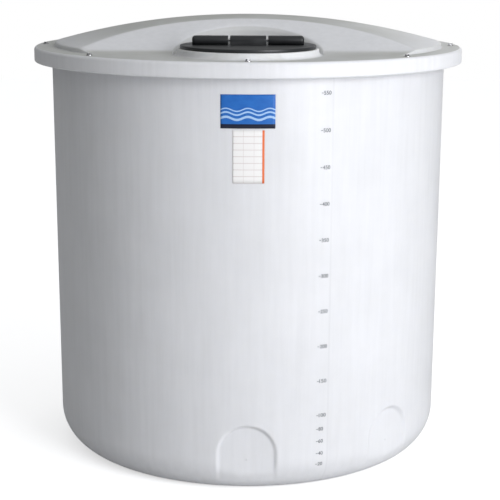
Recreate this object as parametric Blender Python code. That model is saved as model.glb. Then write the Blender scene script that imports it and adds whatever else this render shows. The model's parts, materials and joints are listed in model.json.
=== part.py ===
"""Upright open-top storage tank in milky moulded plastic, with a bolted domed lid and a hinged
black manway cover. Metres, +Z up. The front with the manway and the scale faces -Y.
Angles round the tank are degrees from the front, growing toward +X."""
import math

import bmesh
import bpy
from mathutils import Matrix

# Tank body
WALL_R_TOP = 0.7150
WALL_R_FOOT = 0.7095
WALL_T = 0.009
CORNER_WIDE = 0.105
CORNER_HIGH = 0.124
CORNER_POWER = 1.87
CORNER_STEPS = 7
WALL_TOP_Z = 1.4660
WALL_SEGMENTS = 10
FIRST_SEGMENT_ANGLE = 4.5
ROUND_STEPS = 80
SEAM = 0.0003

# Rim of the tank and bolting flange of the lid
RIM_R = 0.7660
RIM_T = 0.0095
FLANGE_R = 0.7780
FLANGE_TOP_Z = 1.4755
SKIRT_FOOT_Z = 1.4230
SKIRT_T = 0.0085
BOLT_CIRCLE_R = 0.7430
BOLT_COUNT = 8
BOLT_HOLE_R = 0.0046

# Domed lid with its sloping flat and the level shelf in front
LID_T = 0.007
STEP_R = 0.7030
STEP_TOP_Z = 1.4895
DOME_TOP_Z = 1.5835
DOME_POWER = 2.1
DOME_STEPS = 8
FACET_CREST_Y = -0.148
FACET_CREST_Z = 1.5800
FACET_SLOPE = 0.346

# Manway
MANWAY_Y = -0.475
RECESS_R = 0.2525
RECESS_OPEN = 8.5
NECK_FOOT_R = 0.2425
NECK_HEAD_R = 0.2365
NECK_BORE_R = 0.2050
NECK_TOP_Z = 1.4977
COVER_R = 0.2275
COVER_T = 0.0110
LEAF_GAP = 0.0015
KNUCKLE_R = 0.0150
KNUCKLE_LONG = 0.1200
KNUCKLE_PITCH = 0.1270
PIN_R = 0.0050
PIN_PLAY = 0.0005

# Fitting flats low on the wall
PAD_ANGLES = (0.0, 45.0, 180.0, 225.0)
PAD_HALF_WIDTH = 0.1020
PAD_FOOT_Z = 0.0537
PAD_TOP_Z = 0.2505
PAD_FACE_R = 0.6945
PAD_DEEP = 0.0220
PAD_ARCH_STEPS = 12


def clear_scene():
    for ob in list(bpy.data.objects):
        bpy.data.objects.remove(ob, do_unlink=True)


def material(name, rgb, rough, metal):
    mat = bpy.data.materials.new(name)
    mat.use_nodes = True
    shader = mat.node_tree.nodes["Principled BSDF"]
    shader.inputs["Base Color"].default_value = (*rgb, 1.0)
    shader.inputs["Roughness"].default_value = rough
    shader.inputs["Metallic"].default_value = metal
    return mat


def add_object(name, bm, mat, smooth=True):
    bmesh.ops.recalc_face_normals(bm, faces=bm.faces)
    mesh = bpy.data.meshes.new(name)
    bm.to_mesh(mesh)
    bm.free()
    if mat is not None:
        mesh.materials.append(mat)
    if smooth:
        mesh.shade_smooth()
        mesh.set_sharp_from_angle(angle=math.radians(35))
    ob = bpy.data.objects.new(name, mesh)
    bpy.context.scene.collection.objects.link(ob)
    return ob


def add_cutter(name, bm):
    ob = add_object(name, bm, None)
    ob.hide_render = True
    ob.display_type = 'WIRE'
    return ob


def combine(ob, cutter, operation='DIFFERENCE'):
    mod = ob.modifiers.new("with_" + cutter.name, 'BOOLEAN')
    mod.operation = operation
    mod.object = cutter


def round_point(radius, degrees, z, centre_y=0.0):
    a = math.radians(degrees)
    return (radius * math.sin(a), centre_y - radius * math.cos(a), z)


def arc_points(centre_a, centre_b, radius, start, stop, count):
    out = []
    for i in range(count + 1):
        a = math.radians(start + (stop - start) * i / count)
        out.append((centre_a + radius * math.cos(a), centre_b + radius * math.sin(a)))
    return out


def lathe_ring(profile, steps=ROUND_STEPS, start=0.0, stop=360.0, centre_y=0.0):
    """Closed outline of (radius, height) pairs swept round the axis, whole or in part."""
    bm = bmesh.new()
    whole = abs(stop - start - 360.0) < 1e-6
    count = steps if whole else steps + 1
    rings = []
    for i in range(count):
        a = start + (stop - start) * i / steps
        rings.append([bm.verts.new(round_point(r, a, z, centre_y)) for r, z in profile])
    n = len(profile)
    for i in range(steps):
        near, far = rings[i], rings[(i + 1) % count]
        for k in range(n):
            bm.faces.new((near[k], far[k], far[(k + 1) % n], near[(k + 1) % n]))
    if not whole:
        bm.faces.new(rings[0])
        bm.faces.new(list(reversed(rings[-1])))
    return bm


def lathe_solid(profile, steps=ROUND_STEPS, centre_y=0.0):
    """Outline of (radius, height) pairs that starts and ends on the axis, swept right round."""
    bm = bmesh.new()
    foot = bm.verts.new((0.0, centre_y, profile[0][1]))
    head = bm.verts.new((0.0, centre_y, profile[-1][1]))
    middle = profile[1:-1]
    rings = []
    for i in range(steps):
        a = 360.0 * i / steps
        rings.append([bm.verts.new(round_point(r, a, z, centre_y)) for r, z in middle])
    for i in range(steps):
        near, far = rings[i], rings[(i + 1) % steps]
        bm.faces.new((foot, far[0], near[0]))
        for k in range(len(middle) - 1):
            bm.faces.new((near[k], far[k], far[k + 1], near[k + 1]))
        bm.faces.new((head, near[-1], far[-1]))
    return bm


def cylinder(radius, low, high, steps=48, centre_y=0.0):
    return lathe_solid([(0.0, low), (radius, low), (radius, high), (0.0, high)], steps, centre_y)


def add_prism(bm, outline, low, high, axis):
    """Flat outline pushed out along one axis; the outline holds the other two coordinates."""
    def place(p, h):
        if axis == 'X':
            return (h, p[0], p[1])
        if axis == 'Y':
            return (p[0], h, p[1])
        return (p[0], p[1], h)

    a = [bm.verts.new(place(p, low)) for p in outline]
    b = [bm.verts.new(place(p, high)) for p in outline]
    n = len(outline)
    bm.faces.new(a)
    bm.faces.new(list(reversed(b)))
    for k in range(n):
        bm.faces.new((a[k], b[k], b[(k + 1) % n], a[(k + 1) % n]))
    return a + b


def prism(outline, low, high, axis):
    bm = bmesh.new()
    add_prism(bm, outline, low, high, axis)
    return bm


def wall_radius(z):
    share = (z - CORNER_HIGH) / (WALL_TOP_Z - CORNER_HIGH)
    return WALL_R_FOOT + (WALL_R_TOP - WALL_R_FOOT) * share


def corner_curve(inset):
    """Rounded corner between bottom and wall, moved inward by inset, as (radius, height) pairs."""
    centre_r = WALL_R_FOOT - CORNER_WIDE
    power = 2.0 / CORNER_POWER
    pts = []
    for i in range(CORNER_STEPS + 1):
        a = math.radians(90.0 * i / CORNER_STEPS)
        pts.append((centre_r + (CORNER_WIDE - inset) * math.sin(a) ** power,
                    CORNER_HIGH - (CORNER_HIGH - inset) * abs(math.cos(a)) ** power))
    return pts


def body_solid(inset, top_z):
    """Everything inside the tank's outer skin moved inward by inset, up to top_z."""
    profile = [(0.0, inset)] + corner_curve(inset)
    profile += [(wall_radius(top_z) - inset, top_z), (0.0, top_z)]
    return lathe_solid(profile)


def pad_outline(grow):
    """Arch with upright sides, drawn across the flat and up it."""
    half = PAD_HALF_WIDTH + grow
    spring = PAD_TOP_Z - PAD_HALF_WIDTH
    foot = [(-half, PAD_FOOT_Z - grow), (half, PAD_FOOT_Z - grow)]
    return foot + arc_points(0.0, spring, half, 0.0, 180.0, PAD_ARCH_STEPS)


def make_floor(mat):
    radius = WALL_R_FOOT - CORNER_WIDE - SEAM
    add_object("tank_floor", cylinder(radius, 0.0, WALL_T, ROUND_STEPS), mat)


def make_body_segments(mat, flats):
    """Rounded foot and upright wall, both split into equal segments whose seams miss the flats."""
    foot = corner_curve(0.0) + list(reversed(corner_curve(WALL_T)))
    low = CORNER_HIGH + SEAM
    r_low, r_high = wall_radius(low), wall_radius(WALL_TOP_Z)
    wall = [(r_low, low), (r_high, WALL_TOP_Z), (r_high - WALL_T, WALL_TOP_Z), (r_low - WALL_T, low)]
    width = 360.0 / WALL_SEGMENTS
    seam_angle = math.degrees(SEAM / WALL_R_FOOT)
    for name, profile in (("foot_segment", foot), ("wall_segment", wall)):
        for i in range(WALL_SEGMENTS):
            middle = FIRST_SEGMENT_ANGLE + i * width
            start = middle - (width - seam_angle) / 2
            stop = middle + (width - seam_angle) / 2
            bm = lathe_ring(profile, ROUND_STEPS // WALL_SEGMENTS, start, stop)
            ob = add_object("%s_%d" % (name, i + 1), bm, mat)
            if any(abs(angle - middle) < width / 2 for angle in PAD_ANGLES):
                combine(ob, flats)


def make_flat_windows():
    """Plugs for the arched windows that the fitting flats fill, all in one mesh."""
    whole = bmesh.new()
    for angle in PAD_ANGLES:
        verts = add_prism(whole, pad_outline(SEAM), -0.80, -0.45, 'Y')
        turn = Matrix.Rotation(math.radians(angle), 3, 'Z')
        bmesh.ops.rotate(whole, verts=verts, cent=(0.0, 0.0, 0.0), matrix=turn)
    return add_cutter("cut_flats", whole)


def make_pads(mat):
    """Thick arched flats; where the rounded foot falls behind the flat they follow its skin."""
    skin = add_cutter("keep_in_skin", body_solid(0.0, 0.5))
    core = add_cutter("cut_core", body_solid(PAD_DEEP, 0.5))
    for i, angle in enumerate(PAD_ANGLES):
        bm = prism(pad_outline(0.0), -PAD_FACE_R, -0.45, 'Y')
        ob = add_object("fitting_flat_%d" % (i + 1), bm, mat)
        ob.rotation_euler = (0.0, 0.0, math.radians(angle))
        combine(ob, skin, 'INTERSECT')
        combine(ob, core)


def make_bolt_holes():
    """Plugs for the screw holes, all in one mesh."""
    whole = bmesh.new()
    for i in range(BOLT_COUNT):
        made = bmesh.ops.create_cone(whole, cap_ends=True, segments=16, radius1=BOLT_HOLE_R,
                                     radius2=BOLT_HOLE_R, depth=0.06)
        place = round_point(BOLT_CIRCLE_R, i * 360.0 / BOLT_COUNT, FLANGE_TOP_Z - 0.015)
        bmesh.ops.translate(whole, verts=made["verts"], vec=place)
    return add_cutter("cut_screw_holes", whole)


def make_rim(mat, holes):
    low = WALL_TOP_Z - RIM_T
    inner = wall_radius(WALL_TOP_Z) + SEAM
    profile = [(inner, low), (RIM_R, low), (RIM_R, WALL_TOP_Z), (inner, WALL_TOP_Z)]
    combine(add_object("tank_rim", lathe_ring(profile), mat), holes)


def make_lid_flange(mat, holes):
    """Flat bolting ring with a rounded outer edge, and the skirt that hangs from it."""
    low = WALL_TOP_Z + SEAM
    corner = FLANGE_TOP_Z - low - 0.0002
    inner = STEP_R + SEAM
    profile = [(inner, low), (FLANGE_R, low)]
    profile += arc_points(FLANGE_R - corner, FLANGE_TOP_Z - corner, corner, 0.0, 90.0, 5)
    profile.append((inner, FLANGE_TOP_Z))
    combine(add_object("lid_flange", lathe_ring(profile), mat), holes)
    high = low - SEAM
    skirt_in = FLANGE_R - SKIRT_T
    skirt = [(skirt_in, SKIRT_FOOT_Z), (FLANGE_R - 0.002, SKIRT_FOOT_Z), (FLANGE_R, SKIRT_FOOT_Z + 0.004),
             (FLANGE_R, high), (skirt_in, high)]
    add_object("lid_skirt", lathe_ring(skirt), mat)


def dome_curve(inset):
    """Dome from the top of the step up to the axis, as (radius, height) pairs."""
    side = STEP_R - inset
    pts = []
    for i in range(DOME_STEPS):
        share = 1.0 - i / DOME_STEPS
        rise = (DOME_TOP_Z - STEP_TOP_Z) * (1.0 - share ** DOME_POWER)
        pts.append((side * share, STEP_TOP_Z + rise - inset))
    pts.append((0.0, DOME_TOP_Z - inset))
    return pts


def facet_z(y):
    return FACET_CREST_Z + FACET_SLOPE * (y - FACET_CREST_Y)


def facet_foot_y():
    return FACET_CREST_Y - (FACET_CREST_Z - FLANGE_TOP_Z) / FACET_SLOPE


def make_facet_cutter():
    """Wedge of air over the sloping flat and everything in front of its foot."""
    back = FACET_CREST_Y + 0.25
    foot = facet_foot_y()
    outline = [(back, facet_z(back)), (foot, FLANGE_TOP_Z), (foot, 1.3), (-1.0, 1.3),
               (-1.0, 1.9), (back, 1.9)]
    return add_cutter("cut_facet", prism(outline, -1.0, 1.0, 'X'))


def make_dome(mat, facet):
    low = WALL_TOP_Z + SEAM
    profile = list(reversed(dome_curve(LID_T)))
    profile += [(STEP_R - LID_T, low), (STEP_R, low)] + dome_curve(0.0)
    combine(add_object("lid_dome", lathe_solid(profile), mat), facet)


def make_facet(mat):
    """Sloping flat plate in two halves, with the recess round the manway cut out of it."""
    side = STEP_R - LID_T - SEAM
    inside = add_cutter("keep_under_dome", lathe_solid([(0.0, 1.4), (side, 1.4)] + dome_curve(LID_T + SEAM)))
    outer_r = RECESS_R + LID_T + SEAM
    recess = add_cutter("cut_recess", cylinder(outer_r, 1.4, 1.7, 96, MANWAY_Y))
    foot, back = facet_foot_y(), FACET_CREST_Y + 0.1
    drop = LID_T * math.hypot(1.0, FACET_SLOPE)
    outline = [(foot, FLANGE_TOP_Z), (back, facet_z(back)), (back, facet_z(back) - drop),
               (foot, FLANGE_TOP_Z - drop)]
    for name, low, high in (("lid_facet_left", -0.8, -SEAM / 2), ("lid_facet_right", SEAM / 2, 0.8)):
        ob = add_object(name, prism(outline, low, high, 'X'), mat)
        combine(ob, inside, 'INTERSECT')
        combine(ob, recess)


def shelf_outline():
    """Level plate in plan: wide in front, straight along the foot of the flat, round the recess."""
    chord_y = facet_foot_y() - SEAM
    back_r = RECESS_R + LID_T
    rise = math.degrees(math.asin((chord_y - MANWAY_Y) / back_r))
    front = [(-FLANGE_R, chord_y), (-FLANGE_R, -FLANGE_R), (FLANGE_R, -FLANGE_R), (FLANGE_R, chord_y)]
    return front + arc_points(0.0, MANWAY_Y, back_r, rise, 180.0 - rise, 24)


def make_shelf(mat):
    ob = add_object("lid_shelf", prism(shelf_outline(), FLANGE_TOP_Z - LID_T, FLANGE_TOP_Z, 'Z'), mat)
    combine(ob, add_cutter("keep_in_step", cylinder(STEP_R, 1.4, 1.6, ROUND_STEPS)), 'INTERSECT')
    combine(ob, add_cutter("cut_throat", cylinder(NECK_BORE_R, 1.4, 1.6, 64, MANWAY_Y)))


def make_recess(mat, facet):
    """Upright wall of the recess that lets the level cover sit in the sloping flat."""
    low, high = FLANGE_TOP_Z + SEAM, FACET_CREST_Z + 0.02
    outer = RECESS_R + LID_T
    profile = [(RECESS_R, low), (outer, low), (outer, high), (RECESS_R, high)]
    bm = lathe_ring(profile, 24, 90.0 + RECESS_OPEN, 270.0 - RECESS_OPEN, MANWAY_Y)
    combine(add_object("recess_wall", bm, mat), facet)


def make_neck(mat):
    low = FLANGE_TOP_Z + SEAM
    corner = 0.004
    profile = [(NECK_BORE_R, low), (NECK_FOOT_R, low)]
    profile += arc_points(NECK_HEAD_R - corner, NECK_TOP_Z - corner, corner, 0.0, 90.0, 4)
    profile.append((NECK_BORE_R, NECK_TOP_Z))
    add_object("manway_neck", lathe_ring(profile, 64, centre_y=MANWAY_Y), mat)


def hinge_height():
    return NECK_TOP_Z + SEAM + COVER_T + SEAM + KNUCKLE_R


def make_leaf(name, sign, mat):
    """Half of the round cover; sign -1 is the front half, +1 the rear half."""
    edge = math.degrees(math.asin(LEAF_GAP / COVER_R))
    outline = [(x, sign * y) for x, y in arc_points(0.0, 0.0, COVER_R, edge, 180.0 - edge, 32)]
    low = NECK_TOP_Z + SEAM - hinge_height()
    ob = add_object(name, prism(outline, low, low + COVER_T, 'Z'), mat)
    ob.location = (0.0, MANWAY_Y, hinge_height())


def make_knuckle(name, x, sign, mat, bore):
    """Barrel with a square foot toward its own leaf, bored for the pin."""
    outline = []
    for y, z in arc_points(0.0, 0.0, KNUCKLE_R, -90.0, 180.0, 24):
        outline.append((-sign * y, z))
    outline.append((sign * KNUCKLE_R, -KNUCKLE_R))
    ob = add_object(name, prism(outline, -KNUCKLE_LONG / 2, KNUCKLE_LONG / 2, 'X'), mat)
    ob.location = (x, MANWAY_Y, hinge_height())
    combine(ob, bore)


def rod_along_x(radius, length):
    bm = bmesh.new()
    bmesh.ops.create_cone(bm, cap_ends=True, segments=24, radius1=radius, radius2=radius, depth=length,
                          matrix=Matrix.Rotation(math.radians(90), 4, 'Y'))
    return bm


def make_hinge(mat, steel):
    on_axis = (0.0, MANWAY_Y, hinge_height())
    bore = add_cutter("cut_pin_bore", rod_along_x(PIN_R + PIN_PLAY, 0.6))
    bore.location = on_axis
    for name, x, sign in (("left", -KNUCKLE_PITCH, 1), ("middle", 0.0, -1), ("right", KNUCKLE_PITCH, 1)):
        make_knuckle("hinge_knuckle_" + name, x, sign, mat, bore)
    pin_long = 2 * KNUCKLE_PITCH + KNUCKLE_LONG - 0.004
    add_object("hinge_pin", rod_along_x(PIN_R, pin_long), steel).location = on_axis


def screw_profile():
    """Head, washer, shank and nut as one turned piece, from the nut up."""
    washer_low = FLANGE_TOP_Z + SEAM
    nut_top = WALL_TOP_Z - RIM_T - SEAM
    return [(0.0, nut_top - 0.012), (0.0040, nut_top - 0.012), (0.0040, nut_top - 0.007),
            (0.0085, nut_top - 0.007), (0.0085, nut_top), (0.0040, nut_top), (0.0040, washer_low),
            (0.0110, washer_low), (0.0110, washer_low + 0.0015), (0.0078, washer_low + 0.0015),
            (0.0078, washer_low + 0.0060), (0.0060, washer_low + 0.0072), (0.0, washer_low + 0.0072)]


def make_screws(mat):
    for i in range(BOLT_COUNT):
        ob = add_object("lid_screw_%d" % (i + 1), lathe_solid(screw_profile(), 8), mat)
        ob.location = round_point(BOLT_CIRCLE_R, i * 360.0 / BOLT_COUNT, 0.0)


def main():
    clear_scene()
    milky = material("milky_plastic", (0.86, 0.87, 0.86), 0.38, 0.0)
    black = material("black_plastic", (0.02, 0.02, 0.022), 0.40, 0.0)
    steel = material("bright_steel", (0.62, 0.62, 0.63), 0.25, 1.0)
    holes = make_bolt_holes()
    facet = make_facet_cutter()
    make_floor(milky)
    make_body_segments(milky, make_flat_windows())
    make_pads(milky)
    make_rim(milky, holes)
    make_lid_flange(milky, holes)
    make_dome(milky, facet)
    make_facet(milky)
    make_shelf(milky)
    make_recess(milky, facet)
    make_neck(milky)
    make_leaf("cover_leaf_front", -1, black)
    make_leaf("cover_leaf_rear", 1, black)
    make_hinge(black, steel)
    make_screws(steel)


main()
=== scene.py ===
import json
import math

import bmesh
import bpy
from mathutils import Matrix, Vector
from mathutils.geometry import delaunay_2d_cdt


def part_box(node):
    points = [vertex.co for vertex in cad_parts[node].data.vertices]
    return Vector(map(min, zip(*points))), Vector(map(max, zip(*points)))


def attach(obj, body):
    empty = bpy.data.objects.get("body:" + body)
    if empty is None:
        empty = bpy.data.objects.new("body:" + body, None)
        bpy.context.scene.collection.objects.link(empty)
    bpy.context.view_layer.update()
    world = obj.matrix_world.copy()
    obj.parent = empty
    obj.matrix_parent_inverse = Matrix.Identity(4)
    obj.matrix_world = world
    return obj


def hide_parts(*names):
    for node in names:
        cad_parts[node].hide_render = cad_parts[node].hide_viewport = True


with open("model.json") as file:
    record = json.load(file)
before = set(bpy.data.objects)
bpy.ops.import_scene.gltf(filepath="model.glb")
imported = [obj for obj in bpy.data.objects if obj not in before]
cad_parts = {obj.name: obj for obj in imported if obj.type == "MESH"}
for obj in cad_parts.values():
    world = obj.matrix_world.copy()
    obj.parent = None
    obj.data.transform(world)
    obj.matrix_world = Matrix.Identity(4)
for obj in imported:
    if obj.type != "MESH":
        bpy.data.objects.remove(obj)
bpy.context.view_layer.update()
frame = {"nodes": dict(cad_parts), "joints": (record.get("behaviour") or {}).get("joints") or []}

# Camera
# The tank is seen from the front and a little above its rim, with a long lens from about five
# metres, looking down by twelve and a half degrees.
CAMERA_AT = (0.0, -5.1386, 1.8428)
CAMERA_DOWN = 0.2185
CAMERA_ROLL = 0.0035
CAMERA_LENS = 99.81
CAMERA_SHIFT = 0.00514

camera = bpy.data.objects.new("camera", bpy.data.cameras.new("camera"))
bpy.context.scene.collection.objects.link(camera)
camera.data.sensor_width = 36.0
camera.data.lens = CAMERA_LENS
camera.data.shift_x = CAMERA_SHIFT
camera.data.clip_end = 60.0
tilt = Matrix.Rotation(math.pi / 2 - CAMERA_DOWN, 4, 'X') @ Matrix.Rotation(CAMERA_ROLL, 4, 'Z')
camera.matrix_world = Matrix.Translation(CAMERA_AT) @ tilt
bpy.context.scene.camera = camera


# Tank body
# One hollow moulding of natural polyethylene: bottom, rounded foot, upright wall and rim flange
# in a single skin of about 9 mm. Four arched flats low on the wall take fittings.
WALL_T = 0.009
WALL_R_TOP = 0.7150
WALL_R_FOOT = 0.7095
WALL_TOP_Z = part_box("tank_rim")[1].z
RIM_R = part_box("tank_rim")[1].x
CORNER_WIDE = 0.105
CORNER_HIGH = 0.124
CORNER_POWER = 1.87
CORNER_ROWS = 22
BOTTOM_RINGS = (0.0, 0.25, 0.50)
FLAT_ANGLES = (0.0, 45.0, 180.0, 225.0)
FLAT_FACE_R = 0.6945
FLAT_HALF = 0.102
FLAT_FOOT_Z = 0.050
FLAT_TOP_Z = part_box("fitting_flat_1")[1].z
FLAT_SHOULDER = 0.014
FLAT_RUN_OUT = 0.0032
FLAT_SOFT = 0.0050
FLAT_LAP = 0.003
FLAT_MARGIN = 0.010
FLAT_ROW = 0.0045
FLAT_ROWS_END = FLAT_TOP_Z + 0.012
FLAT_FADE = (FLAT_FOOT_Z - 0.02, FLAT_FOOT_Z + 0.015)
FLAT_SIDE_Y = -0.5
RIM_UNDER_Z = WALL_TOP_Z - WALL_T
RIM_FILLET = 0.007
RIM_FILLET_ROWS = 4
RIM_INSETS = (0.012, 0.0004)
TALL_ROWS = 28
MERGE = 0.00005


def smooth_step(low, high, value):
    """From 0 at low to 1 at high."""
    share = min(max((value - low) / (high - low), 0.0), 1.0)
    return share * share * (3.0 - 2.0 * share)


def soft_min(a, b, soft):
    """The smaller of two values, rounded where they meet."""
    near = max(soft - abs(a - b), 0.0) / soft
    return min(a, b) - near * near * soft * 0.25


def skin_radius(z):
    """Outer radius of the tank body at height z."""
    if z >= CORNER_HIGH:
        share = (z - CORNER_HIGH) / (WALL_TOP_Z - CORNER_HIGH)
        return WALL_R_FOOT + (WALL_R_TOP - WALL_R_FOOT) * share
    drop = 1.0 - max(z, 0.0) / CORNER_HIGH
    return WALL_R_FOOT - CORNER_WIDE + CORNER_WIDE * (1.0 - drop ** CORNER_POWER) ** (1.0 / CORNER_POWER)


def spin_profile(bm, profile, turns, centre=(0.0, 0.0)):
    """Sweep (radius, height) points from the front round the axis, in stretches of (degrees, steps)."""
    first = turns[0][2] if len(turns[0]) > 2 else 0.0
    start = Matrix.Rotation(math.radians(first), 4, 'Z')
    verts = []
    for r, z in profile:
        point = start @ Vector((0.0, -r, z))
        verts.append(bm.verts.new((point.x + centre[0], point.y + centre[1], point.z)))
    geom = verts + [bm.edges.new(pair) for pair in zip(verts, verts[1:])]
    for turn in turns:
        made = bmesh.ops.spin(bm, geom=geom, cent=(centre[0], centre[1], 0.0), axis=(0.0, 0.0, 1.0),
                              angle=math.radians(turn[0]), steps=turn[1], use_duplicate=False)
        geom = made["geom_last"]
    bmesh.ops.remove_doubles(bm, verts=bm.verts, dist=MERGE)


def finish_mesh(name, bm, mat, sharp=None, recalc=True):
    """Turn a bmesh into a smooth-shaded object at the origin."""
    if recalc:
        bmesh.ops.recalc_face_normals(bm, faces=bm.faces)
        if bm.calc_volume(signed=True) < 0.0:
            bmesh.ops.reverse_faces(bm, faces=bm.faces)
    mesh = bpy.data.meshes.new(name)
    bm.to_mesh(mesh)
    bm.free()
    mesh.materials.append(mat)
    mesh.shade_smooth()
    if sharp is not None:
        mesh.set_sharp_from_angle(angle=math.radians(sharp))
    piece = bpy.data.objects.new(name, mesh)
    bpy.context.scene.collection.objects.link(piece)
    return piece


def give_wall(piece, thickness, even=True):
    """Thickness inward from the skin that the mesh draws."""
    wall = piece.modifiers.new("wall", 'SOLIDIFY')
    wall.thickness = thickness
    wall.offset = -1.0
    wall.use_even_offset = even


def node_adder(tree):
    """A short way to add nodes to a tree, with their links and their settings."""
    def add(kind, links=None, **settings):
        node = tree.nodes.new(kind)
        for key, value in settings.items():
            if hasattr(node, key):
                setattr(node, key, value)
            else:
                node.inputs[key].default_value = value
        for socket, source in (links or {}).items():
            tree.links.new(source, node.inputs[socket])
        return node

    return add


def node_setup(name, base, rough):
    """A material with a Principled shader, and short ways to add nodes and join them to it."""
    mat = bpy.data.materials.new(name)
    mat.use_nodes = True
    shader = mat.node_tree.nodes["Principled BSDF"]
    shader.inputs["Base Color"].default_value = (*base, 1.0)
    shader.inputs["Roughness"].default_value = rough

    def join(source, socket):
        mat.node_tree.links.new(source, shader.inputs[socket])

    return mat, shader, node_adder(mat.node_tree), join


def mix_colours(add, factor, dark, light):
    """Two even colours mixed by a factor."""
    mix = add("ShaderNodeMix", {0: factor}, data_type='RGBA')
    mix.inputs[6].default_value = (*dark, 1.0)
    mix.inputs[7].default_value = (*light, 1.0)
    return mix.outputs[2]


def lay_over(add, factor, under, colour):
    """One even colour laid over the colour of a socket."""
    mix = add("ShaderNodeMix", {0: factor, 6: under}, data_type='RGBA')
    mix.inputs[7].default_value = (*colour, 1.0)
    return mix.outputs[2]


def number_node(add, operation, *values):
    """One arithmetic step between sockets or numbers."""
    node = add("ShaderNodeMath", operation=operation)
    for index, value in enumerate(values):
        if isinstance(value, (int, float)):
            node.inputs[index].default_value = value
        else:
            node.id_data.links.new(value, node.inputs[index])
    return node.outputs[0]


def ramp(add, value, low, high, low_out=0.0, high_out=1.0, smooth=False):
    """Low and high of a socket come out as low_out and high_out."""
    kind = 'SMOOTHSTEP' if smooth else 'LINEAR'
    node = add("ShaderNodeMapRange", {"Value": value}, interpolation_type=kind)
    ends = {"From Min": low, "From Max": high, "To Min": low_out, "To Max": high_out}
    for socket, number in ends.items():
        node.inputs[socket].default_value = number
    return node.outputs[0]


def noise(add, place, scale, detail, rough=0.5):
    """Grey noise at a place, finer with a larger scale."""
    made = add("ShaderNodeTexNoise", {"Vector": place}, Scale=scale, Detail=detail, Roughness=rough)
    return made.outputs[0]


def bump(add, height, strength, distance, under=None):
    """A normal roughened by a height, on top of another one if given."""
    links = {"Height": height} if under is None else {"Height": height, "Normal": under}
    return add("ShaderNodeBump", links, Strength=strength, Distance=distance).outputs[0]


def striped(add, place, colour):
    """The sight stripe, hardly lighter than the wall, with a faint darker line of painted shade along its
    right side.
    """
    parts = add("ShaderNodeSeparateXYZ", {0: place})
    toward = number_node(add, 'MULTIPLY', parts.outputs[1], -1.0)
    angle = number_node(add, 'ARCTAN2', parts.outputs[0], toward)
    away = number_node(add, 'SUBTRACT', angle, math.radians(STRIPE_MIDDLE))
    off = number_node(add, 'ABSOLUTE', away)
    fade = math.radians(STRIPE_FADE)
    half = math.radians(STRIPE_HALF)
    inside = ramp(add, off, half + fade, half - fade, smooth=True)
    pale = mix_colours(add, inside, (1.0, 1.0, 1.0), STRIPE_TINT)
    # Painted shade: a faint darker line along the stripe's right edge
    from_line = number_node(add, 'ABSOLUTE', number_node(add, 'SUBTRACT', away, half))
    line = ramp(add, from_line, math.radians(LINE_OUTER), math.radians(LINE_INNER), smooth=True)
    tint = add("ShaderNodeMix", {6: colour, 7: lay_over(add, line, pale, EDGE_SHADE_TINT)},
               data_type='RGBA', blend_type='MULTIPLY')
    tint.inputs[0].default_value = 1.0
    return tint.outputs[2]


def dusted(add, place, clouds, colour, rings):
    """Grey film on what faces straight up, dust and painted shade, and painted shade in rings of (centre y,
    radius, strength) along steps.
    """
    facing = add("ShaderNodeSeparateXYZ", {0: add("ShaderNodeNewGeometry").outputs["Normal"]})
    dust_and_shade_mask = ramp(add, facing.outputs[2], *DUST_AND_SHADE_FACING, smooth=True)
    film_patches = ramp(add, clouds, 0.30, 0.60, 0.72, 1.0)
    # Each ring is painted shade along a step or a hollow of the lid
    for centre_y, radius, strength in rings:
        across = add("ShaderNodeMapping", {"Vector": place}, Location=(0.0, -centre_y, 0.0),
                     Scale=(1.0, 1.0, 0.0)).outputs[0]
        reach = add("ShaderNodeVectorMath", {0: across}, operation='LENGTH').outputs["Value"]
        off = number_node(add, 'ABSOLUTE', number_node(add, 'SUBTRACT', reach, radius))
        ring = ramp(add, off, SHADE_RING_OUTER, SHADE_RING_INNER, 0.0, strength, smooth=True)
        dust_and_shade_mask = number_node(add, 'MAXIMUM', dust_and_shade_mask, ring)
    return lay_over(add, number_node(add, 'MULTIPLY', dust_and_shade_mask, film_patches), colour, DUST_AND_SHADE_COLOUR)


def milky_plastic(name, gloss, stripe=False, shade_rings=None):
    """Natural polyethylene: cloudy white, faint upright streaks, orange peel and a soft sheen."""
    mat, shader, add, join = node_setup(name, (0.84, 0.855, 0.85), 0.42)
    place = add("ShaderNodeTexCoord").outputs["Object"]
    tall = add("ShaderNodeMapping", {"Vector": place}, Scale=(1.0, 1.0, 0.06)).outputs[0]
    streaks = noise(add, tall, 46.0, 4.0, 0.6)
    clouds = noise(add, place, 5.0, 5.0, 0.55)
    peel = noise(add, place, 170.0, 3.0, 0.6)
    half = number_node(add, 'MULTIPLY', number_node(add, 'ADD', streaks, clouds), 0.5)
    colour = mix_colours(add, ramp(add, half, 0.36, 0.64), (0.824, 0.829, 0.842), (0.889, 0.894, 0.910))
    if stripe:
        colour = striped(add, place, colour)
    # Grey film on level tops, dust and painted shade, and rings of painted shade along steps and hollows
    if shade_rings:
        colour = dusted(add, place, clouds, colour, shade_rings)
    join(colour, "Base Color")
    join(ramp(add, clouds, 0.0, 1.0, *gloss), "Roughness")
    join(bump(add, streaks, 0.12, 0.0006, bump(add, peel, 0.25, 0.0006)), "Normal")
    shader.inputs["Subsurface Weight"].default_value = 0.35
    shader.inputs["Subsurface Radius"].default_value = (1.0, 0.95, 0.85)
    shader.inputs["Subsurface Scale"].default_value = 0.030
    shader.inputs["IOR"].default_value = 1.5
    return mat


# The sight stripe, in degrees round the tank from its front toward +X
STRIPE_MIDDLE = 20.4
STRIPE_HALF = 2.4
STRIPE_FADE = 0.3
STRIPE_TINT = (1.008, 1.008, 1.008)
# The faint darker line along the stripe's right side is painted shade
LINE_OUTER = 0.42
LINE_INNER = 0.14
EDGE_SHADE_TINT = (0.955, 0.955, 0.955)

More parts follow.
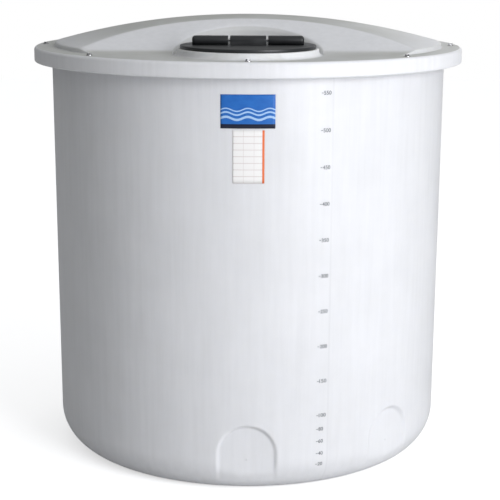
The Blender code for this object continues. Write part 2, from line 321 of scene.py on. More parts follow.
body_plastic = milky_plastic("milky_plastic_body", (0.30, 0.42), stripe=True)
profile = [(r, 0.0) for r in (*BOTTOM_RINGS, WALL_R_FOOT - CORNER_WIDE)]
for i in range(1, CORNER_ROWS + 1):
    a = math.pi / 2 * i / CORNER_ROWS
    z = CORNER_HIGH * (1.0 - abs(math.cos(a)) ** (2.0 / CORNER_POWER))
    profile.append((skin_radius(z), z))
z = CORNER_HIGH + FLAT_ROW
while z < FLAT_ROWS_END:
    profile.append((skin_radius(z), z))
    z += FLAT_ROW
low_z, high_z = z, RIM_UNDER_Z - RIM_FILLET
for i in range(TALL_ROWS + 1):
    z = low_z + (high_z - low_z) * i / TALL_ROWS
    profile.append((skin_radius(z), z))
root_r = skin_radius(high_z) + RIM_FILLET
for i in range(1, RIM_FILLET_ROWS + 1):
    a = math.pi / 2 * i / RIM_FILLET_ROWS
    profile.append((root_r - RIM_FILLET * math.cos(a), high_z + RIM_FILLET * math.sin(a)))
profile += [(RIM_R - inset, RIM_UNDER_Z) for inset in RIM_INSETS]

# The sweep takes fine steps over each flat, and starts at the left edge of the front one
FINE = (22.0, 58)
SHORT = (23.0, 12)
COARSE = (113.0, 57)
FIRST_EDGE = -11.0
bm = bmesh.new()
spin_profile(bm, profile, [(*FINE, FIRST_EDGE), SHORT, FINE, COARSE, FINE, SHORT, FINE, COARSE])
spring = FLAT_TOP_Z - FLAT_HALF
for angle in FLAT_ANGLES:
    turn = Matrix.Rotation(math.radians(angle), 3, 'Z')
    back = turn.inverted()
    for vert in bm.verts:
        place = back @ vert.co
        beside = abs(place.x) > FLAT_HALF + FLAT_MARGIN or place.z > FLAT_TOP_Z + FLAT_MARGIN
        if place.y > FLAT_SIDE_Y or beside:
            continue
        if place.z > spring:
            inside = FLAT_HALF - math.hypot(place.x, place.z - spring)
        else:
            inside = FLAT_HALF - abs(place.x)
        weight = smooth_step(0.0, FLAT_SHOULDER, inside + FLAT_LAP)
        weight *= smooth_step(*FLAT_FADE, place.z)
        out = -place.y
        target = soft_min(FLAT_FACE_R, out - FLAT_RUN_OUT, FLAT_SOFT)
        place.y = -(out + (target - out) * weight)
        vert.co = turn @ place
tank_body = finish_mesh("tank_body", bm, body_plastic, sharp=50)
give_wall(tank_body, WALL_T)
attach(tank_body, "tank")
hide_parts("tank_floor", "tank_rim", *["foot_segment_%d" % i for i in range(1, 11)],
            *["wall_segment_%d" % i for i in range(1, 11)], *["fitting_flat_%d" % i for i in range(1, 5)])


# Centre marks of the fitting flats
# A small shallow boss in the middle of each flat, of the same plastic as the wall. The mould
# leaves it there to show where to drill.
MARK_R = 0.0062
MARK_HEAD_R = 0.6 * MARK_R
MARK_HIGH = 0.0009
MARK_SINK = 0.002
MARK_EDGE = 0.0006
MARK_Z = 0.126

for number, angle in enumerate(FLAT_ANGLES, 1):
    bm = bmesh.new()
    bmesh.ops.create_cone(bm, cap_ends=True, segments=24, radius1=MARK_R, radius2=MARK_HEAD_R,
                          depth=MARK_HIGH + MARK_SINK)
    edges = [e for e in bm.edges if all(v.co.z > 0.0 for v in e.verts)]
    bmesh.ops.bevel(bm, geom=edges, affect='EDGES', offset=MARK_EDGE, segments=3, profile=0.5, material=-1)
    bmesh.ops.rotate(bm, verts=bm.verts, cent=(0, 0, 0), matrix=Matrix.Rotation(math.pi / 2, 3, 'X'))
    bmesh.ops.translate(bm, verts=bm.verts, vec=(0.0, (MARK_SINK - MARK_HIGH) / 2 - FLAT_FACE_R, MARK_Z))
    bmesh.ops.rotate(bm, verts=bm.verts, cent=(0, 0, 0), matrix=Matrix.Rotation(math.radians(angle), 3, 'Z'))
    mark = finish_mesh("flat_mark_%d" % number, bm, body_plastic, sharp=40)
    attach(mark, "tank")


# Graduated scale
# Gallon marks up the right of the front, a dash and a number each, printed in worn grey ink on
# the sight stripe. They lie on the curved wall.
SCALE_LEFT = 19.4
SCALE_STEP = 50
SCALE_FOOT_Z = 0.0322
SCALE_STEP_Z = 0.12159
# Heights of the lowest marks, where the rounded foot makes the steps uneven
SCALE_LOW = {80: 0.2261, 60: 0.1828, 40: 0.1391, 20: 0.0995}
DIGIT_HIGH = 0.0125
DIGIT_PITCH = 0.0092
DIGIT_GAP = 0.0014
# A digit is as high as this share of the font's size
FIGURE_SHARE = 0.70
FIGURE_SIZE = DIGIT_HIGH / FIGURE_SHARE
DASH_LONG = 0.0070
DASH_HIGH = 0.0020
PRINT_LIFT = 0.0003
INK_T = 0.0002
FIGURE_BOLD = 0.0003


def printed_grey():
    """Worn grey ink with the plastic showing through in specks."""
    mat, shader, add, join = node_setup("printed_grey", (0.30, 0.31, 0.33), 0.55)
    place = add("ShaderNodeTexCoord").outputs["Object"]
    wear = noise(add, place, 420.0, 2.0)
    join(mix_colours(add, wear, (0.13, 0.14, 0.16), (0.36, 0.37, 0.39)), "Base Color")
    join(bump(add, wear, 0.2, 0.0002), "Normal")
    return mat


def flat_text(text, size):
    """Outline of a line of figures as a flat bmesh in X and Y, starting at the origin."""
    curve = bpy.data.curves.new("figures", 'FONT')
    curve.body = text
    curve.size = size
    curve.offset = FIGURE_BOLD
    carrier = bpy.data.objects.new("figures", curve)
    bpy.context.scene.collection.objects.link(carrier)
    bpy.context.view_layer.update()
    mesh = bpy.data.meshes.new_from_object(carrier.evaluated_get(bpy.context.evaluated_depsgraph_get()))
    bpy.data.objects.remove(carrier)
    bm = bmesh.new()
    bm.from_mesh(mesh)
    bpy.data.meshes.remove(mesh)
    return bm


def onto_wall(bm, angle, z, lift):
    """Wrap a flat sheet, drawn with X across and Y up, onto the tank wall."""
    start = math.radians(angle)
    for vert in bm.verts:
        high = z + vert.co.y
        radius = skin_radius(high)
        a = start + vert.co.x / radius
        radius += lift + vert.co.z
        vert.co = (radius * math.sin(a), -radius * math.cos(a), high)


levels = {SCALE_STEP * k: SCALE_FOOT_Z + SCALE_STEP_Z * k for k in range(2, 12)}
levels.update(SCALE_LOW)
marks = bmesh.new()
for gallons, z in sorted(levels.items()):
    figures = flat_text(str(gallons), FIGURE_SIZE)
    low_y = min(v.co.y for v in figures.verts)
    left_x = min(v.co.x for v in figures.verts)
    bmesh.ops.translate(figures, verts=figures.verts, vec=(-left_x, -low_y - DIGIT_HIGH / 2, 0.0))
    wide = DIGIT_PITCH * len(str(gallons)) - DIGIT_GAP
    stretch = wide / max(v.co.x for v in figures.verts)
    bmesh.ops.scale(figures, verts=figures.verts, vec=(stretch, 1.0, 1.0))
    bmesh.ops.translate(figures, verts=figures.verts, vec=(DASH_LONG + DIGIT_GAP, 0.0, 0.0))
    dash = bmesh.ops.create_grid(figures, x_segments=1, y_segments=1, size=0.5)["verts"]
    bmesh.ops.scale(figures, verts=dash, vec=(DASH_LONG, DASH_HIGH, 1.0))
    bmesh.ops.translate(figures, verts=dash, vec=(DASH_LONG / 2, 0.0, 0.0))
    onto_wall(figures, SCALE_LEFT, z, PRINT_LIFT)
    part = bpy.data.meshes.new("mark")
    figures.to_mesh(part)
    figures.free()
    marks.from_mesh(part)
    bpy.data.meshes.remove(part)
scale_marks = finish_mesh("scale_marks", marks, printed_grey(), recalc=False)
give_wall(scale_marks, INK_T)
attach(scale_marks, "tank")


# Stickers
# Two vinyl stickers on the front wall, one above the other. The upper one is blue with a plain
# water pattern, the lower one is a white card with empty ruled boxes.
BLUE_BOX = (-0.0885, 0.0885, 1.2590, 1.3685)
WHITE_BOX = (-0.0490, 0.0540, 1.0805, 1.2535)
VINYL_T = 0.0003
VINYL_WALL = 0.8 * VINYL_T
# Wave lines of the blue one: (height, half thickness), as shares of its height
WAVES = ((0.30, 0.035), (0.44, 0.025), (0.55, 0.018))
WAVE_TURNS = 15.7
WAVE_SWELL = 0.045
BAND_HIGH = 0.13
# Ruled boxes of the white one, and where its side bar starts
BOX_ROWS = 8.0
BOX_COLUMNS = 3.0
RULE_HIGH = 0.10
RULE_WIDE = 0.03
BAR_FROM = 0.93


def sticker_mesh(name, box, mat):
    """A thin sheet on the wall, with UV from 0 to 1 across and up."""
    left, right, low, high = box
    bm = bmesh.new()
    bmesh.ops.create_grid(bm, x_segments=24, y_segments=12, size=0.5)
    uv = bm.loops.layers.uv.new("card")
    for face in bm.faces:
        for loop in face.loops:
            loop[uv].uv = (loop.vert.co.x + 0.5, loop.vert.co.y + 0.5)
    bmesh.ops.scale(bm, verts=bm.verts, vec=(right - left, high - low, 1.0))
    bmesh.ops.translate(bm, verts=bm.verts, vec=((left + right) / 2, 0.0, 0.0))
    onto_wall(bm, 0.0, (low + high) / 2, VINYL_T)
    piece = finish_mesh(name, bm, mat, recalc=False)
    give_wall(piece, VINYL_WALL)
    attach(piece, "tank")


def card_axes(add):
    """UV of a sticker, and its parts across and up."""
    card = add("ShaderNodeUVMap", uv_map="card").outputs[0]
    split = add("ShaderNodeSeparateXYZ", {0: card})
    return card, split.outputs[0], split.outputs[1]


def blue_vinyl():
    """Blue print with three pale wave lines and a dark band along the foot."""
    mat, shader, add, join = node_setup("blue_vinyl", (0.02, 0.14, 0.52), 0.3)
    card, across, up = card_axes(add)
    speck = noise(add, card, 6.0, 3.0)
    colour = mix_colours(add, speck, (0.012, 0.110, 0.46), (0.030, 0.200, 0.62))
    for offset, share in WAVES:
        phase = number_node(add, 'MULTIPLY', across, WAVE_TURNS)
        swell = number_node(add, 'MULTIPLY', number_node(add, 'SINE', phase), WAVE_SWELL)
        height = number_node(add, 'SUBTRACT', number_node(add, 'SUBTRACT', up, swell), offset)
        line = number_node(add, 'LESS_THAN', number_node(add, 'ABSOLUTE', height), share)
        colour = lay_over(add, line, colour, (0.42, 0.62, 0.90))
    foot = number_node(add, 'LESS_THAN', up, BAND_HIGH)
    join(lay_over(add, foot, colour, (0.008, 0.012, 0.035)), "Base Color")
    return mat


def white_vinyl():
    """White card with pale grey rules, and a thin orange bar down its right side."""
    mat, shader, add, join = node_setup("white_vinyl", (0.9, 0.89, 0.87), 0.35)
    card, across, up = card_axes(add)
    speck = noise(add, card, 40.0, 2.0)
    colour = mix_colours(add, speck, (0.93, 0.915, 0.90), (0.97, 0.96, 0.945))
    rows = number_node(add, 'FRACT', number_node(add, 'MULTIPLY', up, BOX_ROWS))
    columns = number_node(add, 'FRACT', number_node(add, 'MULTIPLY', across, BOX_COLUMNS))
    level = number_node(add, 'LESS_THAN', rows, RULE_HIGH)
    upright = number_node(add, 'LESS_THAN', columns, RULE_WIDE)
    colour = lay_over(add, number_node(add, 'MAXIMUM', level, upright), colour, (0.74, 0.68, 0.66))
    bar = number_node(add, 'GREATER_THAN', across, BAR_FROM)
    join(lay_over(add, bar, colour, (0.80, 0.17, 0.04)), "Base Color")
    return mat


sticker_mesh("sticker_blue", BLUE_BOX, blue_vinyl())
sticker_mesh("sticker_white", WHITE_BOX, white_vinyl())


# Lid
# A second moulding screwed down on the rim: a skirt and a level flange, a short step, a shallow dome
# with a sloping flat cut into its front, a level shelf and a recess behind the manway.
LID_T = 0.007
FLANGE_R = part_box("lid_flange")[1].x
FLANGE_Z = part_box("lid_flange")[1].z
SKIRT_FOOT_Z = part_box("lid_skirt")[0].z
SKIRT_CORNER = 0.012
FOOT_CORNER = 0.005
CORNER_STEPS = 8
FOOT_STEPS = 6
FLANGE_RINGS = (0.722, 0.744)
SKIRT_RINGS = (1.452, 1.440)
STEP_R = 0.7030
STEP_Z = 1.4895
DOME_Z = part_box("lid_dome")[1].z
DOME_POWER = 2.1
CREST_Y = -0.148
CREST_Z = 1.5800
FLAT_SLOPE = 0.346
FLAT_END_Y = CREST_Y - (CREST_Z - FLANGE_Z) / FLAT_SLOPE
MANWAY_Y = -0.475
RECESS_R = 0.2525
RECESS_FOOT_R = 0.006
THROAT_R = 0.2050
COLLAR_R = 0.2385
EDGE_R = 0.018
STEP_EDGE_R = 0.0050
STEP_ROOT_R = 0.0045
# A rounding takes no more than this share of the rise beside it
STEP_ROOT_SHARE = 0.3
STEP_EDGE_SHARE = 0.5
EDGE_SHARE = 0.7
RECESS_FOOT_SHARE = 0.25
CREST_SOFT = 0.0040
FOOT_SOFT = 0.0180
JOIN_R = 0.7090
# The grey film on what faces straight up is dust and painted shade: it darkens the lid's level tops
DUST_AND_SHADE_COLOUR = (0.568, 0.573, 0.540)
DUST_AND_SHADE_FACING = (0.955, 0.988)
SHADE_RING_OUTER = 0.013
SHADE_RING_INNER = 0.4 * SHADE_RING_OUTER
# Rings of painted shade along the step, the recess wall and the foot of the neck
SHADE_RINGS = ((0.0, STEP_R, 0.45), (MANWAY_Y, RECESS_R, 0.60), (MANWAY_Y, COLLAR_R, 0.25))
# Steps round the lid, the recess and the throat, and the gaps between the rows of points that
# follow its edges
ROUND = 240
RECESS_STEPS = 160
RECESS_ARC = (-18.0, 198.0)
THROAT_STEPS = 128
STEP_GAPS = (0.0045, 0.0028, 0.0014, 0.0004, -0.0004, -0.0012, -0.0026, -0.0050, -0.0095)
RECESS_GAPS = (-0.010, -0.006, -0.0035, -0.0015, -0.0004, 0.0003, 0.0012, 0.0028, 0.0050, 0.0080,
               0.012, 0.018)
THROAT_GAPS = (0.0, 0.012, 0.024)
CREST_GAPS = (-0.018, -0.011, -0.006, -0.002, 0.002, 0.006, 0.011, 0.018)
CREST_HALF = 0.555
CREST_COUNT = 140
SHELF_GAPS = (-0.066, -0.050, -0.036, -0.024, -0.012, 0.0, 0.012, 0.024, 0.036, 0.050, 0.066)
SHELF_FROM = RECESS_R + 0.024
SHELF_ROW = 0.008
SHELF_COUNT = 34
SHELF_REACH = STEP_R - 0.012
GRID = 0.022
GRID_CLEAR = 0.010
GRID_END = 0.02
CHAIN_MERGE = 0.0002


def quarter(distance, radius):
    """Drop of a quarter-round edge at a distance from its wall."""
    if radius <= 0.0 or distance >= radius:
        return 0.0
    reach = radius - max(distance, 0.0)
    return radius - math.sqrt(max(radius * radius - reach * reach, 0.0))


def dome_height(x, y):
    """Height of the plain dome, before the flat is cut into it."""
    share = min(math.hypot(x, y) / STEP_R, 1.0)
    return STEP_Z + (DOME_Z - STEP_Z) * (1.0 - share ** DOME_POWER)


def lid_ground(x, y):
    """Dome, sloping flat and shelf, before the step and the recess are rounded in."""
    flat = CREST_Z + FLAT_SLOPE * (y - CREST_Y)
    top = soft_min(dome_height(x, y), flat, CREST_SOFT)
    return -soft_min(-top, -FLANGE_Z, FOOT_SOFT)


def lid_height(x, y):
    """Height of the lid's skin, with the step, the recess and their small roundings."""
    r = math.hypot(x, y)
    inner = STEP_R / max(r, STEP_R)
    rise = max(lid_ground(x * inner, y * inner) - FLANGE_Z, 0.0)
    if r > STEP_R:
        return FLANGE_Z + quarter(r - STEP_R, min(STEP_ROOT_R, STEP_ROOT_SHARE * rise))
    z = lid_ground(x, y) - quarter(STEP_R - r, min(STEP_EDGE_R, STEP_EDGE_SHARE * rise))
    from_wall = math.hypot(x, y - MANWAY_Y) - RECESS_R
    rise = z - FLANGE_Z
    if from_wall >= 0.0:
        return z - quarter(from_wall, min(EDGE_R, EDGE_SHARE * rise))
    return FLANGE_Z + quarter(-from_wall, min(RECESS_FOOT_R, RECESS_FOOT_SHARE * rise))


def circle_points(radius, count, centre_y=0.0, start=0.0, stop=360.0):
    """Points along a circle, or along an arc of it with both its ends."""
    whole = stop - start > 359.9
    last = count if whole else count + 1
    out = []
    for i in range(last):
        a = math.radians(start + (stop - start) * i / count)
        out.append(Vector((radius * math.cos(a), centre_y + radius * math.sin(a))))
    return out


def crest_y(x):
    """Where the sloping flat meets the dome, at this x."""
    near, far = FLAT_END_Y, 0.3
    for _ in range(40):
        middle = (near + far) / 2
        if CREST_Z + FLAT_SLOPE * (middle - CREST_Y) > dome_height(x, middle):
            far = middle
        else:
            near = middle
    return near


# Rows of points that follow the lid's edges, and a looser filling between them
points, chains = [], []


def add_row(row, closed=False, chained=True):
    """Keep a row of points, and the edges along it that the mesh must have."""
    first = len(points)
    points.extend(row)
    if chained:
        chains.extend((first + i, first + i + 1) for i in range(len(row) - 1))
        if closed:
            chains.append((first + len(row) - 1, first))


add_row(circle_points(JOIN_R, ROUND, 0.0, -90.0, 270.0), True)
for gap in STEP_GAPS:
    add_row(circle_points(STEP_R + gap, ROUND, 0.0, -90.0, 270.0), True)
for gap in RECESS_GAPS:
    add_row(circle_points(RECESS_R + gap, RECESS_STEPS, MANWAY_Y, *RECESS_ARC))
for gap in THROAT_GAPS:
    add_row(circle_points(THROAT_R + gap, THROAT_STEPS, MANWAY_Y), True)
for gap in CREST_GAPS:
    row = []
    for i in range(CREST_COUNT + 1):
        x = -CREST_HALF + 2 * CREST_HALF * i / CREST_COUNT
        slope = (crest_y(x + 0.001) - crest_y(x - 0.001)) / 0.002
        length = math.hypot(1.0, slope)
        row.append(Vector((x - gap * slope / length, crest_y(x) + gap / length)))
    add_row(row, chained=False)
for gap in SHELF_GAPS:
    for side in (-1, 1):
        row = [Vector((side * (SHELF_FROM + SHELF_ROW * i), FLAT_END_Y + gap)) for i in range(SHELF_COUNT)]
        add_row([p for p in row if p.length < SHELF_REACH], chained=False)


def too_near(point, others, distance):
    return any(abs(point.x - o.x) < distance and abs(point.y - o.y) < distance for o in others)


taken = list(points)
radius = STEP_R - GRID
while radius > GRID_END:
    for point in circle_points(radius, max(int(2 * math.pi * radius / GRID), 6)):
        near_manway = (point - Vector((0.0, MANWAY_Y))).length
        if near_manway > THROAT_R and not too_near(point, taken, GRID_CLEAR):
            points.append(point)
    radius -= GRID
points.append(Vector((0.0, 0.0)))

flat_verts, _, flat_faces, _, _, _ = delaunay_2d_cdt(points, chains, [], 0, CHAIN_MERGE)
lid = bmesh.new()
made = [lid.verts.new((p.x, p.y, lid_height(p.x, p.y))) for p in flat_verts]
for face in flat_faces:
    middle = sum((flat_verts[i] for i in face), Vector((0.0, 0.0))) / len(face)
    if (middle - Vector((0.0, MANWAY_Y))).length > THROAT_R:
        lid.faces.new([made[i] for i in face])
bmesh.ops.delete(lid, geom=[v for v in lid.verts if not v.link_faces], context='VERTS')

edge = [(r, FLANGE_Z) for r in (JOIN_R, *FLANGE_RINGS, FLANGE_R - SKIRT_CORNER)]
for i in range(1, CORNER_STEPS + 1):
    a = math.pi / 2 * i / CORNER_STEPS
    in_by, down_by = SKIRT_CORNER * (1.0 - math.sin(a)), SKIRT_CORNER * (1.0 - math.cos(a))
    edge.append((FLANGE_R - in_by, FLANGE_Z - down_by))
edge += [(FLANGE_R, z) for z in SKIRT_RINGS]
for i in range(FOOT_STEPS + 1):
    a = math.pi / 2 * i / FOOT_STEPS
    in_by, up_by = FOOT_CORNER * (1.0 - math.cos(a)), FOOT_CORNER * (1.0 - math.sin(a))
    edge.append((FLANGE_R - in_by, SKIRT_FOOT_Z + up_by))
spin_profile(lid, edge, [(360.0, ROUND)])
# The lid's plastic has a grey film on its level tops, dust and painted shade, and rings of painted shade
# along its step, recess wall and neck foot
lid_plastic = milky_plastic("milky_plastic_lid", (0.46, 0.58), shade_rings=SHADE_RINGS)
lid_moulding = finish_mesh("lid_moulding", lid, lid_plastic, sharp=60)
give_wall(lid_moulding, LID_T, even=False)
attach(lid_moulding, "tank")
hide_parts("lid_flange", "lid_skirt", "lid_dome", "lid_facet_left", "lid_facet_right",
            "lid_shelf", "recess_wall")


# Manway neck
# A short round neck that stands up out of the shelf and flares a little toward its foot. It is
# part of the lid moulding, so its foot runs into the shelf in a soft hollow.
NECK_HEAD_R = 0.2365
NECK_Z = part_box("manway_neck")[1].z
NECK_LIP = 0.0035
BORE_R = THROAT_R + 0.0003
BORE_LIP = 0.003
NECK_STEPS = 192
BORE_ROWS = 4
LIP_ROWS = 5
# The flare from under the lip down into the shelf
NECK_FLARE = ((0.2371, 1.4895), (0.2382, 1.4848), (0.2398, 1.4806), (0.2420, 1.4779), (0.2452, 1.4763),
              (0.2490, 1.4757), (0.2500, 1.4740))

neck_line = [(BORE_R, FLANGE_Z - LID_T), (BORE_R, NECK_Z - BORE_LIP)]
for i in range(1, BORE_ROWS + 1):
    a = math.pi / 2 * i / BORE_ROWS
    neck_line.append((BORE_R + BORE_LIP * (1 - math.cos(a)), NECK_Z - BORE_LIP * (1 - math.sin(a))))
for i in range(LIP_ROWS + 1):
    a = math.pi / 2 * i / LIP_ROWS
    neck_line.append((NECK_HEAD_R - NECK_LIP * (1 - math.sin(a)), NECK_Z - NECK_LIP * (1 - math.cos(a))))
neck_line += NECK_FLARE
bm = bmesh.new()
spin_profile(bm, neck_line, [(360.0, NECK_STEPS)], (0.0, MANWAY_Y))
neck = finish_mesh("manway_neck_moulded", bm, lid_plastic, sharp=60)
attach(neck, "tank")
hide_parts("manway_neck")


# Manway cover
# Two half-round leaves of black moulded plastic, joined by a hinge of three barrels on a steel
# pin. The rear leaf is fixed, the front leaf swings up and back.
COVER_R = 0.2275
LEAF_GAP = 0.0015
LEAF_EDGE = 0.0022
LEAF_STEPS = 192
SAME = 1e-6
HINGE_AT = Vector(frame["joints"][0]["pos_m"])


def black_plastic():
    """Satin black moulding with a fine grain and a dusty sheen."""
    mat, shader, add, join = node_setup("black_plastic_satin", (0.012, 0.013, 0.014), 0.4)
    place = add("ShaderNodeTexCoord").outputs["Object"]
    grain = noise(add, place, 900.0, 2.0)
    dust = noise(add, place, 22.0, 5.0, 0.65)
    join(mix_colours(add, dust, (0.010, 0.011, 0.012), (0.026, 0.028, 0.030)), "Base Color")
    join(ramp(add, dust, 0.0, 1.0, 0.30, 0.52), "Roughness")
    join(bump(add, grain, 0.15, 0.0002), "Normal")
    return mat


cover_plastic = black_plastic()


def cover_leaf(name, sign, body, node):
    """Half disc with rounded rims; sign -1 is the front half."""
    low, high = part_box(node)[0].z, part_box(node)[1].z
    bm = bmesh.new()
    bmesh.ops.create_cone(bm, cap_ends=True, segments=LEAF_STEPS, radius1=COVER_R, radius2=COVER_R,
                          depth=high - low)
    whole = bm.verts[:] + bm.edges[:] + bm.faces[:]
    cut = bmesh.ops.bisect_plane(bm, geom=whole, plane_co=(0.0, sign * LEAF_GAP, 0.0),
                                 plane_no=(0.0, -sign, 0.0), clear_outer=True)
    rim = [e for e in cut["geom_cut"] if isinstance(e, bmesh.types.BMEdge)]
    bmesh.ops.holes_fill(bm, edges=rim)
    edges = [e for e in bm.edges if abs(e.verts[0].co.z - e.verts[1].co.z) < SAME]
    bmesh.ops.bevel(bm, geom=edges, affect='EDGES', offset=LEAF_EDGE, segments=4, profile=0.5, material=-1)
    bmesh.ops.translate(bm, verts=bm.verts, vec=(0.0, MANWAY_Y, (low + high) / 2))
    leaf = finish_mesh(name, bm, cover_plastic, sharp=40)
    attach(leaf, body)
    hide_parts(node)


cover_leaf("cover_half_front", -1, "cover_front", "cover_leaf_front")
cover_leaf("cover_half_rear", 1, "tank", "cover_leaf_rear")


# Hinge of the cover
# Three barrels moulded onto the leaves, the middle one on the front leaf. The end barrels have
# their outer top corners rounded off.
BARREL_R = 0.0150
BARREL_END_ROUND = 0.0110
BARREL_EDGE = 0.0016
BARREL_STEPS = 24


def hinge_barrel(name, node, body, sign, round_side):
    """Barrel on a square foot; sign is the side of its leaf, round_side the end that is rounded."""
    low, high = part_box(node)
    bm = bmesh.new()
    ring = []
    for i in range(BARREL_STEPS + 1):
        a = math.radians(-90.0 + 270.0 * i / BARREL_STEPS)
        ring.append(bm.verts.new((low.x, -sign * BARREL_R * math.cos(a), BARREL_R * math.sin(a))))
    ring.append(bm.verts.new((low.x, sign * BARREL_R, -BARREL_R)))
    end = bm.faces.new(ring)
    grown = bmesh.ops.extrude_face_region(bm, geom=[end])
    moved = [v for v in grown["geom"] if isinstance(v, bmesh.types.BMVert)]
    bmesh.ops.translate(bm, verts=moved, vec=(high.x - low.x, 0.0, 0.0))
    for side, x in ((-1, low.x), (1, high.x)):
        width = BARREL_END_ROUND if side == round_side else BARREL_EDGE
        edges = [e for e in bm.edges if all(abs(v.co.x - x) < SAME for v in e.verts)
                 and min(v.co.z for v in e.verts) > -BARREL_R + 1e-5]
        bmesh.ops.bevel(bm, geom=edges, affect='EDGES', offset=width, segments=5, profile=0.5, material=-1)
    bmesh.ops.translate(bm, verts=bm.verts, vec=(0.0, HINGE_AT.y, HINGE_AT.z))
    barrel = finish_mesh(name, bm, cover_plastic, sharp=40)
    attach(barrel, body)
    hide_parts(node)


hinge_barrel("hinge_barrel_left", "hinge_knuckle_left", "tank", 1, -1)
hinge_barrel("hinge_barrel_middle", "hinge_knuckle_middle", "cover_front", -1, 0)
hinge_barrel("hinge_barrel_right", "hinge_knuckle_right", "tank", 1, 1)


# Steel pin and lid screws
# Bright stainless: a plain pin through the hinge, and eight hex screws with washers and nuts
# that clamp the lid's flange on the rim.
def bright_steel():
    """Stainless steel with fine turning scratches."""
    mat, shader, add, join = node_setup("bright_steel_turned", (0.62, 0.62, 0.63), 0.22)
    shader.inputs["Metallic"].default_value = 1.0
    place = add("ShaderNodeTexCoord").outputs["Object"]
    scratch = noise(add, place, 700.0, 3.0)
    join(mix_colours(add, scratch, (0.50, 0.50, 0.51), (0.72, 0.72, 0.73)), "Base Color")
    join(ramp(add, scratch, 0.0, 1.0, 0.16, 0.34), "Roughness")
    join(bump(add, scratch, 0.15, 0.0001), "Normal")
    return mat


steel = bright_steel()
pin = frame["nodes"]["hinge_pin"]
pin.data.materials.clear()
pin.data.materials.append(steel)

SCREW_COUNT = 8
BOLT_CIRCLE_R = 0.7430
WASHER_R = 0.0110
WASHER_FROM = 0.0002
WASHER_TO = 0.0018
WASHER_EDGE = 0.0005
HEAD_R = 0.0080
HEAD_EDGE = 0.0010
HEAD_TURN = 0.7
NUT_R = 0.0085
NUT_FROM = 0.0070
NUT_TO = 0.0002
NUT_EDGE = 0.0006
NUT_TURN = 0.4
SHANK_R = 0.0040


def turned_disc(bm, radius, low, high, x, y, sides, turn=0.0, soften=0.0):
    """Upright prism of some sides, with its top edge softened."""
    made = bmesh.ops.create_cone(bm, cap_ends=True, segments=sides, radius1=radius, radius2=radius,
                                 depth=high - low)["verts"]
    bmesh.ops.rotate(bm, verts=made, cent=(0, 0, 0), matrix=Matrix.Rotation(turn, 3, 'Z'))
    bmesh.ops.translate(bm, verts=made, vec=(x, y, (low + high) / 2))
    if soften:
        edges = {e for v in made for e in v.link_edges if all(p.co.z > high - SAME for p in e.verts)}
        bmesh.ops.bevel(bm, geom=list(edges), affect='EDGES', offset=soften, segments=3, profile=0.5,
                        material=-1)


for number in range(1, SCREW_COUNT + 1):
    node = "lid_screw_%d" % number
    low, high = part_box(node)[0].z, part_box(node)[1].z
    a = math.radians(360.0 / SCREW_COUNT * (number - 1))
    x, y = BOLT_CIRCLE_R * math.sin(a), -BOLT_CIRCLE_R * math.cos(a)
    turn = a + number * HEAD_TURN
    bm = bmesh.new()
    turned_disc(bm, WASHER_R, FLANGE_Z + WASHER_FROM, FLANGE_Z + WASHER_TO, x, y, 32, 0.0, WASHER_EDGE)
    turned_disc(bm, HEAD_R, FLANGE_Z + WASHER_TO, high, x, y, 6, turn, HEAD_EDGE)
    turned_disc(bm, SHANK_R, low, FLANGE_Z, x, y, 16)
    turned_disc(bm, NUT_R, RIM_UNDER_Z - NUT_FROM, RIM_UNDER_Z - NUT_TO, x, y, 6, turn + NUT_TURN, NUT_EDGE)
    screw = finish_mesh("hex_screw_%d" % number, bm, steel, sharp=35)
    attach(screw, "tank")
    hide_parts(node)


# Studio
# A plain pale floor, a white surround that is darker to the left, one large soft light to the
# right of the camera and a weak one behind the lid on the right.
FLOOR_HALF = 14.0
FLOOR_DROP = 0.0006
FLOOR_GLOW = 0.56
# The surround's light: how high it starts and ends, how strong there, and how much more at +X
SKY_COLOUR = (0.972, 0.985, 1.0)
SKY_FROM, SKY_TO = 0.05, 0.70
SKY_LOW, SKY_HIGH = 0.12, 0.565
SKY_SIDE = 0.42
LIGHT_COLOUR = (0.965, 0.97, 1.0)


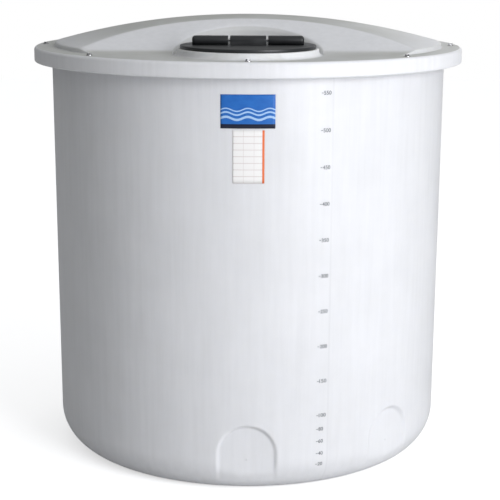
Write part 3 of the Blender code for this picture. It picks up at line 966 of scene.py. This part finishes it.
def pale_floor():
    """Pale floor that looks lighter than the light it throws back on the tank."""
    mat, shader, add, join = node_setup("pale_floor", (0.86, 0.86, 0.86), 0.7)
    place = add("ShaderNodeTexCoord").outputs["Object"]
    cloud = noise(add, place, 1.5, 3.0)
    join(mix_colours(add, cloud, (0.90, 0.90, 0.90), (0.92, 0.92, 0.92)), "Base Color")
    shader.inputs["Emission Color"].default_value = (1.0, 1.0, 1.0, 1.0)
    shader.inputs["Emission Strength"].default_value = FLOOR_GLOW
    dull = add("ShaderNodeBsdfDiffuse", Color=(0.62, 0.62, 0.62, 1.0))
    seen_ray = add("ShaderNodeLightPath").outputs["Is Camera Ray"]
    both = add("ShaderNodeMixShader", {0: seen_ray, 1: dull.outputs[0], 2: shader.outputs[0]})
    mat.node_tree.links.new(both.outputs[0], mat.node_tree.nodes["Material Output"].inputs["Surface"])
    return mat


bm = bmesh.new()
bmesh.ops.create_grid(bm, x_segments=4, y_segments=4, size=FLOOR_HALF)
bmesh.ops.translate(bm, verts=bm.verts, vec=(0.0, 0.0, -FLOOR_DROP))
floor = finish_mesh("floor", bm, pale_floor(), recalc=False)

# The surround is white to the camera. On the tank it shines from above, and less from the left
world = bpy.data.worlds.new("studio")
bpy.context.scene.world = world
world.use_nodes = True
add = node_adder(world.node_tree)
heading = add("ShaderNodeTexCoord").outputs["Generated"]
split = add("ShaderNodeSeparateXYZ", {0: heading})
rising = ramp(add, split.outputs[2], SKY_FROM, SKY_TO, SKY_LOW, SKY_HIGH, smooth=True)
sideways = number_node(add, 'MULTIPLY_ADD', split.outputs[0], SKY_SIDE, 1.0)
surround = world.node_tree.nodes["Background"]
surround.inputs["Color"].default_value = (*SKY_COLOUR, 1.0)
world.node_tree.links.new(number_node(add, 'MULTIPLY', rising, sideways), surround.inputs["Strength"])
seen = add("ShaderNodeBackground", Color=(1.0, 1.0, 1.0, 1.0), Strength=1.0)
seen_ray = add("ShaderNodeLightPath").outputs["Is Camera Ray"]
both = add("ShaderNodeMixShader", {0: seen_ray, 1: surround.outputs[0], 2: seen.outputs[0]})
world.node_tree.links.new(both.outputs[0], world.node_tree.nodes["World Output"].inputs["Surface"])


def soft_light(name, place, target, size, power):
    """A large even panel, turned toward a point."""
    light = bpy.data.lights.new(name, 'AREA')
    light.shape = 'RECTANGLE'
    light.size, light.size_y = size
    light.energy = power
    light.color = LIGHT_COLOUR
    holder = bpy.data.objects.new(name, light)
    bpy.context.scene.collection.objects.link(holder)
    aim = Vector(target) - Vector(place)
    holder.rotation_euler = aim.to_track_quat('-Z', 'Y').to_euler()
    holder.location = place


soft_light("key", (4.1, -5.65, 2.45), (0.0, 0.0, 0.8), (3.2, 3.2), 340.0)
soft_light("side", (1.35, 3.1, 2.1), (0.55, 0.0, 1.45), (1.3, 0.9), 8.0)
bpy.context.scene.view_settings.view_transform = 'Standard'
